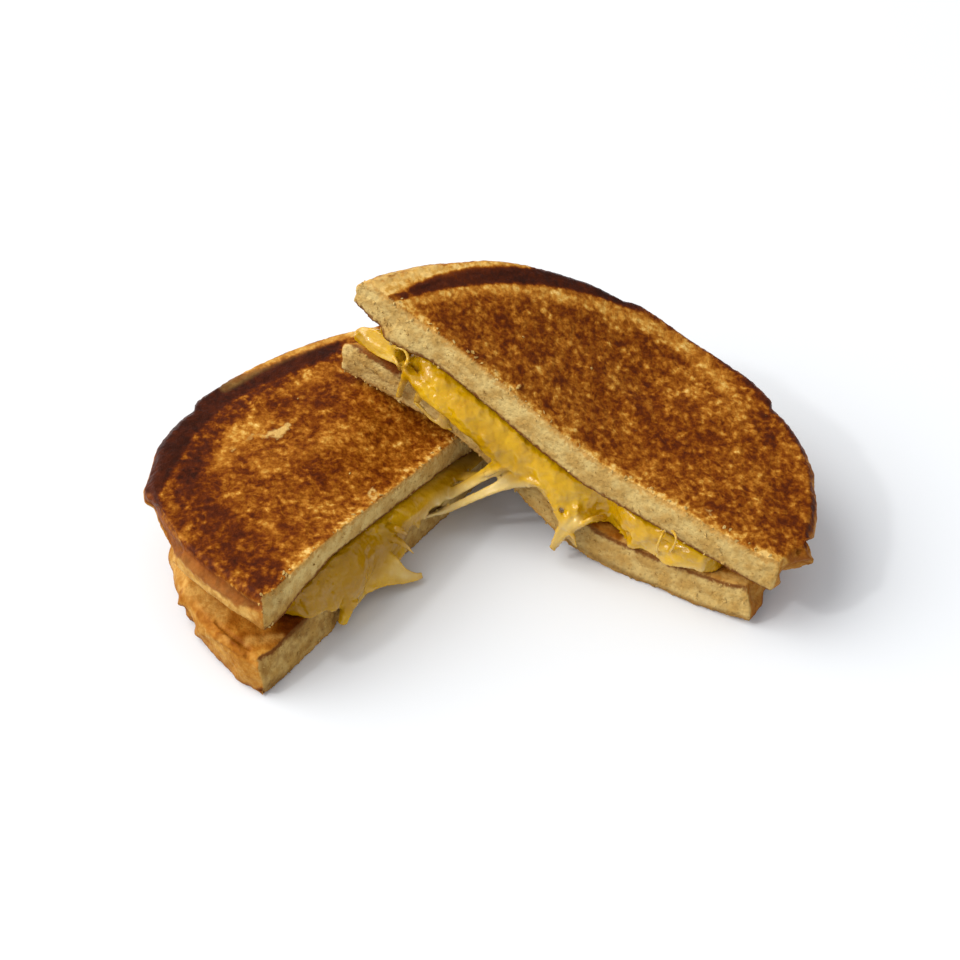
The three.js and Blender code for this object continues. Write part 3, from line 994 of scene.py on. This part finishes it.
# %% Cut away the coarse web and drips
def crossing(out_left, out_right):
    """Where the lines that stand off the two cut faces meet in plan."""
    normals = np.array([HALVES["left"]["inward"], HALVES["right"]["inward"]])
    starts = [HALVES[half]["corner"] @ HALVES[half]["inward"] for half in ("left", "right")]
    return np.linalg.solve(normals, np.array(starts) - np.array([out_left, out_right]))


BELOW = -1.0
IN_FRONT = 14.0


def prism(plan, top):
    """A closed upright prism over an outline in plan, from below the board, in millimetres."""
    count = len(plan)
    rings = [(x, y, z) for z in (BELOW, top) for x, y in plan]
    points = [Vector(point) * MM for point in rings]
    following = [(index + 1) % count for index in range(count)]
    faces = [(i, j, j + count, i + count) for i, j in zip(range(count), following)]
    faces += [tuple(reversed(range(count))), tuple(range(count, 2 * count))]
    return object_of("prism", points, [], faces)


def carve(obj, cutter):
    modify(obj, "BOOLEAN", operation="DIFFERENCE", solver="EXACT", object=cutter)
    bpy.data.objects.remove(cutter)


def strip_prism(half, start, end, out_from, top):
    """A prism in front of a cut face, between two distances along it."""
    corners = [(start, out_from), (start, IN_FRONT), (end, IN_FRONT), (end, out_from)]
    plan = [in_plan(half, along, out) for along, out in corners]
    turn = sum(a[0] * b[1] - b[0] * a[1] for a, b in zip(plan, plan[1:] + plan[:1]))
    return prism(plan if turn > 0 else plan[::-1], top)


# The coarse web starts so far out of the left and the right cut, in mm.
tip = crossing(4.4, 5.0)
web_left = tip - HALVES["left"]["along"] * 14.0
web_right = tip - HALVES["right"]["along"] * 18.0
forward = np.array([0.0, -3.0])
WEB_PLAN = [tip, web_left, web_left + forward, web_right + forward, web_right]
cheese = merged_copy("cheese", "melted_cheese")
carve(cheese, prism(WEB_PLAN, 45.0))
carve(cheese, strip_prism("right", 46.0, 60.5, 2.9, 18.5))
carve(cheese, strip_prism("left", 49.0, 67.0, 3.8, 30.0))
print("carved cheese", len(cheese.data.polygons), "faces")

# %% Remake and relax the cheese
CHEESE_VOXEL = 0.42
relax(remake(cheese, CHEESE_VOXEL), 6)
print("cheese", len(cheese.data.polygons), "faces")

# %% Sculpt the cheese: a sloping sheet, hollows, swellings and drags
# What stands further out of a cut than this, in mm, belongs to the other half.
OTHER_HALF = -9.0
FILM = 0.4
# Half, reach along the cut and depth of a tuck, in mm.
TUCKS = (("left", 19.0, 8.0), ("right", 14.0, 6.5))
# Half, start and end along the cut, and how far leftovers may stand out, in mm.
LEFTOVERS = (("right", 51.0, 68.0, 4.0), ("left", 49.0, 72.0, 2.8))


def slope_the_end(points):
    """Lets the cheese at the raised end lie on its slice, rising only deep inside."""
    along, inward = half_coordinates("right", points)
    under = skin_of(breads["right_bottom"])
    share = step(along, 93.0, 101.0) * (1 - step(inward, 3.0, 12.0)) * 0.93 * (inward > OTHER_HALF)
    floor = points[:, 2].copy()
    for index in np.nonzero(share > 0.001)[0]:
        hit = under.ray_cast(Vector(points[index]) * MM, Vector((0, 0, -1)), 0.03)[0]
        if hit is not None:
            floor[index] = hit.z / MM + FILM
    lowered = points.copy()
    lowered[:, 2] -= (points[:, 2] - floor) * share
    return lowered


def tuck_the_start(points):
    """Draws the cheese back at the front end of both cuts, and back from the left crust."""
    along, inward = half_coordinates("left", points)
    tucked = points.copy()
    for side, reach, depth in TUCKS:
        start, inside = half_coordinates(side, points)
        share = (1 - step(start, reach - 5.0, reach)) * (1 - step(inside, 5.0, 14.0))
        share *= inside > OTHER_HALF
        tucked[:, :2] += HALVES[side]["inward"] * (share * depth)[:, None]
    deep = step(inward, 4.0, 14.0) * (along < 68) * 0.05
    middle = in_plan("left", 40.0, -25.0)
    tucked[:, :2] += (middle - points[:, :2]) * deep[:, None]
    return tucked


def press_back(points):
    """Presses leftovers of the coarse web back to the lips they hang from."""
    pressed = points.copy()
    for half, start, end, most in LEFTOVERS:
        along, inward = half_coordinates(half, points)
        share = step(along, start, start + 3.0) * (1 - step(along, end - 3.0, end))
        over = np.maximum(-inward - most, 0.0) * share
        pressed[:, :2] += HALVES[half]["inward"] * over[:, None]
    along, inward = half_coordinates("left", points)
    hanging = step(along, 53.5, 56.0) * (1 - step(along, 67.0, 70.0)) * (1 - step(inward, -1.0, 0.5))
    pressed[:, 2] += hanging * np.maximum(9.5 - points[:, 2], 0) * 0.9
    return pressed


HOLLOWS = {
    "right": """604 534 1 3.4 2.4, 616 540 0.5 2.4 1.6, 527 494 1.5 3 2, 627 538 1 1.2 1.3,
        664 548 1 1.8 1.8, 572 505 3 2 1.2""",
    "left": "330 604 1 2.6 1.6, 372 584 3 2.4 0.6, 418 508 2 2.6 0.9",
}
SWELLINGS = {
    "right": """430 385 3.5 4 0.9, 466 412 4 4 0.7, 508 443 4 3.6 0.8, 586 500 3 3.4 1, 640 540 1 3 0.8,
        628 547 1 1.8 0.8, 690 556 1.5 2.6 1, 606 508 2 3 0.8""",
    "left": "345 615 2.5 2.2 1.2, 360 575 3 4 0.9, 320 590 2 4 0.6, 395 545 3 3 0.9",
}
DRAGS = {
    "right": "648 556 0 -6 15, 690 575 0 -8 18, 724 572 -14 -5 14, 445 412 -2 4 16",
    "left": "330 596 0 9 11, 333 604 2 6 8, 290 600 8 -4 9",
}


def press(points, normals, dents, sign):
    """Moves points along their normals near each dent: x, y, out, radius, depth."""
    moved = points.copy()
    for half, table in dents.items():
        for x, y, out, radius, depth in rows(table):
            middle = np.array(on_cut(half, x, y, out)) / MM
            gap = np.linalg.norm(points - middle, axis=1)
            moved += normals * (sign * depth * np.exp(-((gap / radius) ** 2)))[:, None]
    return moved


shaped = press_back(tuck_the_start(slope_the_end(points_of(cheese.data))))
shaped = press(shaped, normals_of(cheese.data), HOLLOWS, -1)
shaped = press(shaped, normals_of(cheese.data), SWELLINGS, 1)
shaped = drag(shaped, "left", THINNED, 3.0)
for half, drags in DRAGS.items():
    shaped = drag(shaped, half, drags)
move_points(cheese, shaped)
relax(cheese, 3)
print("cheese pressed, swollen and dragged")

# %% Mix the melted cheese finish
cheese_material, bench = material_with_bench("melted_cheese")
place = bench.node("ShaderNodeTexCoord", {}, {}, "Object")
drift = bench.noise(place, 9.0, 2)
curd = bench.noise(place, 2.4, 2)
oil = bench.noise(place, 0.8, 2)
thin = 1.0 - (bench.mark("thick") + (curd - 0.5) * 0.8).rise(0.7, 2.4)
pale = (bench.mark("pale") * (0.75 + curd * 0.5)).over(thin * 0.22).held()
# deep darkens the cheese to a deeper yellow. It is partly the cheese's own colour and partly painted
# shade: under the lip, in its hollows, and over the shaded cheese of the left half.
deep = (bench.mark("deep") + (drift - 0.5) * 0.25).held()
body_tone = bench.glazed(
    paint(204, 158, 6),
    (drift.rise(0.3, 0.7), paint(182, 134, 0)),
    (curd.rise(0.52, 0.72) * 0.25, paint(216, 176, 44)),
    (deep, paint(158, 114, 0)),
    (pale * 0.8, paint(212, 190, 128)))
rough = 0.17 + (curd - 0.5) * 0.22 + (drift - 0.5) * 0.16 + pale * 0.10
height = drift * 0.85 + curd * 0.50 + oil * 0.05
bump = bench.node("ShaderNodeBump", {}, {"Height": height, "Distance": 0.001, "Strength": 0.8})
finish_shader(bench, {
    "Base Color": body_tone,
    "Roughness": rough,
    "Normal": bump,
    "IOR": 1.34,
    "Subsurface Weight": 0.22,
    "Subsurface Radius": (1.0, 0.7, 0.12),
    "Subsurface Scale": 0.0016,
    "Coat Weight": (0.32 + curd.rise(0.40, 0.66) * 0.45 - deep * 0.45).held(),
    "Coat Roughness": 0.05,
})

# %% [markdown]
# ## Pulled strings and veils
# Where the halves were drawn apart, the cheese thinned to strings and to a veil with a slit in
# it. A Geometry Nodes tree turns paths into tapering tubes; a veil is a ribbon between two
# edges. They are melted together by a fine remesh, so that forks and roots are round.

# %% Keep the cheese's skin to root strings in
cheese_skin = skin_of(cheese)

# %% A tree that turns paths into tapering strings
STRING_SIZES = {"Sides": 10, "Step": 0.25}
strings_tree, bench, size = geometry_tree("cheese_strings", STRING_SIZES)
taper = named_number(bench, "girth")
curves = bench.node("GeometryNodeMeshToCurve", {}, {0: size["Geometry"]})
smooth_kind = bench.node("GeometryNodeCurveSplineType", {"spline_type": "CATMULL_ROM"}, {0: curves})
lengths = {"mode": "LENGTH"}
finer = bench.node("GeometryNodeResampleCurve", lengths, {0: smooth_kind, "Length": size["Step"] * MM})
ring = bench.node("GeometryNodeCurvePrimitiveCircle", {}, {"Resolution": size["Sides"], "Radius": 1.0})
girths = {0: finer, 1: ring, "Scale": taper * MM, "Fill Caps": True}
tubes = bench.node("GeometryNodeCurveToMesh", {}, girths)
end_tree(bench, tubes, cheese_material)


# Paths of stops (x, y, out, girth), parted by ';'. At the word root a stop sinks in the cheese.
# Right: the fat fold of the lip, the two loops at its raised end, two drips, the forked drip,
# and the two loops over the second pool. Left: two barbs and the lobe of the lip.
STRINGS = {
    "right": """
402 362 0.5 0.9, 412 376 2 1.6, 427 391 3 2.1, 442 404 3.3 2.3, 459 418 3 2.3, 478 434 2.4 2.1,
  490 446 1.8 1.5;
388 350 root 0.7, 394 357 0.8 0.5, 399 367 1.5 0.5, 405 378 root 0.9;
390 349 root 0.6, 398 348 0.7 0.38, 405 351 1.2 0.42, 408 359 1.8 0.5, 405 367 1.8 0.6,
  406 376 root 0.9;
410 371 2.4 1.6, 405 379 1.8 1.1, 401 388 1.3 0.9, 399 396 1 0.9;
428 386 3 1.9, 421 394 2 1.4, 417 400 1.2 1.1;
567 526 4.4 0.9, 573 536 4.6 0.6, 576 545 4.6 0.2;
572 530 4.2 0.8, 582 524 3.4 0.7, 592 519 2.6 0.7, 606 517 root 0.9;
668 524 root 0.6, 661 537 2.2 0.42, 657 548 2.4 0.4, 658 556 root 0.6;
668 525 root 0.6, 676 537 2.4 0.38, 673 547 2.4 0.38, 668 553 root 0.5""",
    "left": """
382 532 root 1.6, 399 541 3.6 1, 408 548 5 0.5, 414 554 5.8 0.2;
386 528 root 1.5, 398 529 3.4 1, 407 534 4.6 0.4;
350 598 root 2.4, 346 611 2.4 1.7, 342 623 2.2 1.2""",
}


def string_stop(half, x, y, out, girth):
    """A stop in front of the cut, or, where out is root, sunk in the cheese seen there."""
    if out != "root":
        return on_cut(half, x, y, out)
    ray = ray_through(x, y)
    hit = cheese_skin.ray_cast(EYE, ray)[0]
    return hit + ray * girth * 0.9 * MM if hit else on_cut(half, x, y, 1.0)


def string_paths(strings):
    """All paths as one mesh of edges, with the half thickness on each point."""
    points = []
    edges = []
    girths = []
    for half, table in strings.items():
        for path in table.split(";"):
            stops = rows(path)
            start = len(points)
            points += [string_stop(half, *stop) for stop in stops]
            girths += [stop[-1] for stop in stops]
            edges += [(index, index + 1) for index in range(start, len(points) - 1)]
    made = object_of("string_paths", points, edges, [])
    store(made.data, "girth", np.array(girths))
    return made


strings = wear(string_paths(STRINGS), strings_tree, STRING_SIZES)
print("strings", len(strings.data.polygons), "faces")

# %% Ribbons: veils, tongue, sheet and smear
# A veil hangs from one lip to the other, between two places across the view.
LEFT_OUT = 2.4
RIGHT_OUT = 3.2
VEIL_FROM = 440
VEIL_TO = 506


def depth_of(point):
    return (point - EYE).dot(FORWARD)


LEFT_DEPTH = depth_of(on_cut("left", 447, 503, LEFT_OUT))
RIGHT_DEPTH = depth_of(on_cut("right", 505, 476, RIGHT_OUT))
# Each ribbon: half, thickness, crumple and ridges in mm, then stops of its two edges in pairs
# (x, y, out, x, y, out). With no half it is a veil.
RIBBONS = {
    "upper_veil": (None, 0.95, 0.05, 0.22, """
430 502 in 434 508 in, 441 493 0 446 502 0, 452 487 0 457 496.5 0, 464 481 0 469 489.5 0,
476 474 0 480 483.5 0, 486 466 0 491 478 0, 494 459 on 502 473 0, 501 453 in 512 470 in"""),
    "lower_veil": (None, 0.95, 0.05, 0.2, """
430 512 in 422 517 in, 446 506.5 0 434 516 0, 458 501.5 0 448 512 0, 470 495.5 0 464 505.5 0,
482 489.5 0 481 498 0, 493 484 0 498 491.5 0, 502 477 0 512 487.5 0, 511 471 on 524 486 2.8,
522 470 in 540 487 2.6, 536 474 in 552 490 in"""),
    "funnel": ("right", 1.6, 0.16, 0.4, """
570 488 in 604 502 in, 568 496 in 602 511 in, 567 503 in 594 518 on, 564 513 3.9 584 522 3.5,
560 522 4.5 574 530 4.3, 556 532 4.8 566 538 4.7, 553 541 4.9 559 544 4.9, 552 547 5 554 549 5"""),
    "strand": ("right", 1.1, 0.0, 0.1, """
536 478 in 550 484 in, 541 488 in 552 491 in, 548 498 3.6 554 498 3.6, 552 508 4 557 507 4,
557 518 4.3 562 515 4.3, 562 528 4.5 569 522 4.5"""),
    "tongue": ("left", 1.5, 0.15, 0.2, """
378 545 in 362 595 in, 390 552 on 376 589 3.2, 398 559 3.4 388 585 4.6, 403 566 4.8 399 584 5.8,
410 570.5 6 408 583 7, 417 573 7.4 416 580 8, 422 574 8.4 422 576 8.4"""),
    "sheet": ("right", 1.5, 0.3, 0.3, """
356 330 -1.6 355 337 0.4, 362 328 -2.4 361 344 0.6, 371 327 -2.6 369 350 0.7,
380 330 -2.2 377 356 0.8, 389 337 -1.6 386 359 1, 398 344 -0.8 394 362 1.2,
408 352 in 402 368 1.4, 416 360 in 412 374 in"""),
    "smear": ("right", 0.9, 0.1, 0.1, """
414 388 in 414 401 0.8, 423 397 in 423 410 0.5, 432 404 in 431 419 0.4, 441 412 in 440 426 0.4,
449 419 in 447 430 0.4, 456 425 in 452 429 1"""),
}
ACROSS = 10


def ribbon_point(half, x, y, out):
    """A point of an edge; `out` may also be the word in or on, for the cheese seen there."""
    if out in ("in", "on"):
        return string_stop(half or "right", x, y, "root", 2.2 if out == "in" else 0.5)
    if half is not None:
        return on_cut(half, x, y, out)
    if x < VEIL_FROM:
        return on_cut("left", x, y, LEFT_OUT)
    if x > VEIL_TO:
        return on_cut("right", x, y, RIGHT_OUT)
    depth = LEFT_DEPTH + (RIGHT_DEPTH - LEFT_DEPTH) * (x - VEIL_FROM) / (VEIL_TO - VEIL_FROM)
    ray = ray_through(x, y)
    return EYE + ray * (depth / ray.dot(FORWARD))


def ribbon_mesh(half, thickness, crumple, ridges, pairs, seed):
    """A closed ribbon between two edges, with ridges along it and a crumpled face."""
    shake = random.Random(seed)
    pairs = rows(pairs)
    lines = [shake.uniform(-ridges, ridges) for number in range(ACROSS + 1)]
    points = []
    for pair in pairs:
        start = ribbon_point(half, *pair[:3])
        end = ribbon_point(half, *pair[3:])
        for number, line in enumerate(lines):
            nearer = line + shake.uniform(-crumple, crumple)
            points.append(start.lerp(end, number / ACROSS) + FORWARD * nearer * MM)
    width = ACROSS + 1
    corners = [row * width + cell for row in range(len(pairs) - 1) for cell in range(ACROSS)]
    faces = [(corner, corner + 1, corner + width + 1, corner + width) for corner in corners]
    made = modify(object_of("ribbon", points, [], faces), "SUBSURF", levels=2, render_levels=2)
    return modify(made, "SOLIDIFY", thickness=thickness * MM, offset=0)


def join_into(name, objects):
    """One mesh from several, each a closed skin."""
    vertices = []
    faces = []
    for obj in objects:
        start = len(vertices)
        vertices += [tuple(v.co) for v in obj.data.vertices]
        faces += [tuple(start + index for index in p.vertices) for p in obj.data.polygons]
        bpy.data.objects.remove(obj)
    return object_of(name, vertices, [], faces)


def drop_specks(obj, least):
    """Removes loose bits with fewer vertices than the least, which remeshing leaves behind."""
    form = bmesh.new()
    form.from_mesh(obj.data)
    seen = set()
    specks = []
    for first in form.verts:
        if first in seen:
            continue
        seen.add(first)
        bit = [first]
        for vertex in bit:
            others = {edge.other_vert(vertex) for edge in vertex.link_edges} - seen
            seen |= others
            bit += others
        if len(bit) < least:
            specks += bit
    bmesh.ops.delete(form, geom=specks, context="VERTS")
    form.to_mesh(obj.data)
    form.free()


def thinned(obj, triangles):
    """Collapses short edges until about so many triangles are left."""
    ratio = triangles / sum(len(p.vertices) - 2 for p in obj.data.polygons)
    return modify(obj, "DECIMATE", ratio=ratio)


MELT_VOXEL = 0.34
CHEESE_TRIANGLES = 190000
SPECK = 60
ribbons = [ribbon_mesh(*values, seed) for seed, values in enumerate(RIBBONS.values())]
cheese = remake(join_into("melted_cheese", [cheese, strings] + ribbons), MELT_VOXEL)
print("melted together:", len(cheese.data.polygons), "faces")
drop_specks(thinned(cheese, CHEESE_TRIANGLES), SPECK)
print("thinned to", len(cheese.data.polygons), "faces")

# %% Measure where the cheese is thin
def thickness_of(mesh_object, reach_mm=6.0):
    """How far a ray goes through the cheese under each vertex, in millimetres."""
    tree = skin_of(mesh_object)
    depths = np.full(len(mesh_object.data.vertices), reach_mm)
    normals = normals_of(mesh_object.data)
    for index, vertex in enumerate(mesh_object.data.vertices):
        inward = -Vector(normals[index])
        hit = tree.ray_cast(vertex.co + inward * 0.05 * MM, inward, reach_mm * MM)
        if hit[0] is not None:
            depths[index] = hit[3] / MM
    return depths


def relax_thick(obj, times):
    """Relaxes only the thick parts, so that thin strings keep their girth."""
    depths = thickness_of(obj)
    group = obj.vertex_groups.new(name="thick")
    for index, depth in enumerate(step(depths, 1.2, 3.0)):
        group.add([index], 0.15 + 0.85 * float(depth), "REPLACE")
    relax(obj, times, vertex_group=group.name)
    obj.vertex_groups.clear()


def blurred(mesh, values, times):
    """Each vertex takes the mean of itself and its neighbours, so that marks fade softly."""
    first, second = read(mesh.edges, "vertices", 2, np.int32).T
    count = len(values)
    known = 1.0 + np.bincount(first, minlength=count) + np.bincount(second, minlength=count)
    for number in range(times):
        total = values + np.bincount(first, values[second], count)
        values = (total + np.bincount(second, values[first], count)) / known
    return values


relax_thick(cheese, 8)
store(cheese.data, "thick", blurred(cheese.data, thickness_of(cheese), 14))

# %% Mark the pale cheese, and the deep cheese, which is partly painted shade
# Under deep, the first and third marks are the cheese's own deeper yellow. The second (the lip's lower
# side), the fourth and fifth (the pool's dimple and the cavity) and the last (all the cheese of the
# left half, which lies in shade) are painted shade.
CHEESE_MARKS = read_marks("""
pale
12 0.95: 440 506 8, 470 492 9, 490 480 8, 502 478 5;
6 0.85: 426 518 5, 460 504 6, 500 488 6, 530 486 3;
12 0.6: 398 570 8, 408 574 8, 421 574 4;
5 0.45: 378 352 2, 388 358 3, 398 366 3;
5 0.6: 424 406 5, 444 424 5;
4 0.5: 404 384 3, 400 396 3;
4 0.4: 418 398 4;
6 0.6: 578 520 5, 564 528 5, 554 545 3;
6 0.4: 650 550 5, 662 552 5;
3 0.6: 680 566 2, 700 570 2, 712 566 2

deep
14 0.8: 440 488 8, 454 478 8, 472 466 8;
12 0.4: 470 432 5, 500 456 5, 520 462 5;
8 0.6: 676 547 5, 692 556 5;
6 0.5: 627 540 4;
6 1: 600 535 6, 612 540 4;
20 0.95: 290 606 18, 320 592 24, 345 572 24, 375 548 18, 402 532 10
""")
cheese_points = points_of(cheese.data)
view = places_in_view(cheese_points)
facing = looks_at_eye(cheese.data, cheese_points)
for kind, marks in CHEESE_MARKS.items():
    share = np.clip(marks_of(view, marks), 0, 1) * facing
    store(cheese.data, kind, blurred(cheese.data, share, 12))
print("pale and deep cheese marked")

# %% Give the cheese its soft waves
WAVES = {"Wave": 0.5, "Wave Size": 7.0, "Ripple": 0.42, "Ripple Size": 2.4}
waves_tree, bench, size = geometry_tree("cheese_waves", WAVES)
where = bench.node("GeometryNodeInputPosition")
thick = named_number(bench, "thick")
wave = swing(where, size["Wave Size"], size["Wave"], 1.0)
ripple = swing(where, size["Ripple Size"], size["Ripple"], 1.0)
moved = pushed(size["Geometry"], (wave + ripple) * thick.rise(1.0, 4.0))
end_tree(bench, moved, cheese_material)
wear(cheese, waves_tree, WAVES)
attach(cheese, "root")
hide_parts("cheese")
print("cheese waves worn")

# %% Rest both halves flat on the board
for obj in list(breads.values()) + [cheese]:
    rested = points_of(obj.data)
    rested[:, 2] = np.maximum(rested[:, 2], 0.0)
    move_points(obj, rested)
print("nothing stands below the board")

# %% [markdown]
# ## The sizes
# The box of the solids and the box of what is seen are printed side by side, in millimetres.
# What is seen stays inside the solids' box, apart from a few hundredths of each side.

# %% Print the sizes
bpy.context.view_layer.update()
seen_box = [list(corner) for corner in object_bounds()]
for label, box in (("cad", cad_box), ("visual", seen_box)):
    print(label, [round((high - low) / MM, 1) for low, high in zip(*box)], "mm")
